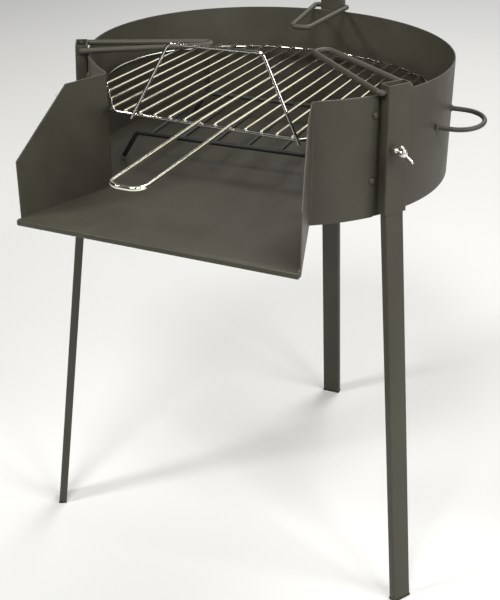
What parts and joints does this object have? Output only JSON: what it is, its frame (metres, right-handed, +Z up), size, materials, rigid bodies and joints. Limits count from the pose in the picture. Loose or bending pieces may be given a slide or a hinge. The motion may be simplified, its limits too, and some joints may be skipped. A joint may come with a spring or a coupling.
{
  "type": "round drum barbecue",
  "caption": "Round steel drum barbecue on splayed legs, with an open front tray between folded wings, a lift-out wire grill with a long handle, a fire grate and folding pan arms.",
  "frame": {"origin": "on the ground, under the centre of the whole outline", "axes": "+Z up, -Y to the front where the tray opens, +X to the right as seen from the front"},
  "size_m": [0.5814, 0.7642, 0.7508],
  "materials": {
    "black_paint": "satin dark grey heat-resistant paint on steel",
    "chrome": "bright chrome-plated wire",
    "zinc": "bright zinc plating",
    "grate_black": "dark grey painted wire",
    "black_plastic": "matt black end cap"
  },
  "bodies": {
    "drum": {"drum_wall": "black_paint", "floor_pan": "black_paint", "wing_right": "black_paint", "wing_left": "black_paint", "socket_left": "black_paint", "socket_right": "black_paint", "socket_rear": "black_paint", "clamp_nut_left": "black_paint", "clamp_nut_right": "black_paint", "clamp_nut_rear": "black_paint", "side_handle_right": "black_paint", "side_handle_left": "black_paint", "flange_bolt_left_upper": "black_paint", "flange_nut_left_upper": "zinc", "flange_bolt_left_lower": "black_paint", "flange_nut_left_lower": "zinc", "flange_bolt_right_upper": "black_paint", "flange_nut_right_upper": "zinc", "flange_bolt_right_lower": "black_paint", "flange_nut_right_lower": "zinc", "grill_rest_left": "black_paint", "grill_rest_right": "black_paint"},
    "arm_left": {"pan_arm_left": "black_paint"},
    "leg_left": {"leg_left": "black_paint", "foot_cap_left": "black_plastic"},
    "screw_left": {"wing_screw_left": "zinc"},
    "arm_right": {"pan_arm_right": "black_paint"},
    "leg_right": {"leg_right": "black_paint", "foot_cap_right": "black_plastic"},
    "screw_right": {"wing_screw_right": "zinc"},
    "arm_rear": {"pan_arm_rear": "black_paint"},
    "leg_rear": {"leg_rear": "black_paint", "foot_cap_rear": "black_plastic"},
    "screw_rear": {"wing_screw_rear": "zinc"},
    "fire_grate": {"fire_grate": "grate_black"},
    "grill": {"grill_grid": "chrome", "grill_handle": "chrome", "grill_bail": "chrome"}
  },
  "joints": [
    {"name": "arm_left_fold", "type": "hinge", "parent": "drum", "child": "arm_left", "pos_m": [-0.21364, -0.06523, 0.7025], "axis": [0.4924, -0.8704, 0], "range_deg": [0, 179.5]},
    {"name": "arm_right_fold", "type": "hinge", "parent": "drum", "child": "arm_right", "pos_m": [0.20973, -0.07262, 0.7025], "axis": [0.5225, 0.8526, 0], "range_deg": [0, 175]},
    {"name": "arm_rear_fold", "type": "hinge", "parent": "drum", "child": "arm_rear", "pos_m": [-0.0075, 0.30136, 0.7025], "axis": [-0.9995, -0.0314, 0], "range_deg": [0, 180.4]},
    {"name": "leg_left_slide", "type": "slide", "parent": "drum", "child": "leg_left", "axis": [-0.0334, -0.0189, -0.9993], "range_m": [0, 0.1]},
    {"name": "leg_right_slide", "type": "slide", "parent": "drum", "child": "leg_right", "axis": [0.0327, -0.0201, -0.9993], "range_m": [0, 0.1]},
    {"name": "leg_rear_slide", "type": "slide", "parent": "drum", "child": "leg_rear", "axis": [-0.0012, 0.0384, -0.9993], "range_m": [0, 0.1]},
    {"name": "screw_left_turn", "type": "hinge", "parent": "drum", "child": "screw_left", "pos_m": [-0.23175, -0.06629, 0.636], "axis": [-0.8704, -0.4924, 0], "continuous": true},
    {"name": "screw_right_turn", "type": "hinge", "parent": "drum", "child": "screw_right", "pos_m": [0.21943, -0.08795, 0.636], "axis": [0.8526, -0.5225, 0], "continuous": true},
    {"name": "screw_rear_turn", "type": "hinge", "parent": "drum", "child": "screw_rear", "pos_m": [-0.00001, 0.31789, 0.636], "axis": [-0.0314, 0.9995, 0], "continuous": true},
    {"name": "fire_grate_lift", "type": "slide", "parent": "drum", "child": "fire_grate", "axis": [0, 0, 1], "range_m": [0, 0.034]},
    {"name": "grill_lift", "type": "slide", "parent": "fire_grate", "child": "grill", "axis": [0, 0, 1], "range_m": [0, 0.034]}
  ]
}
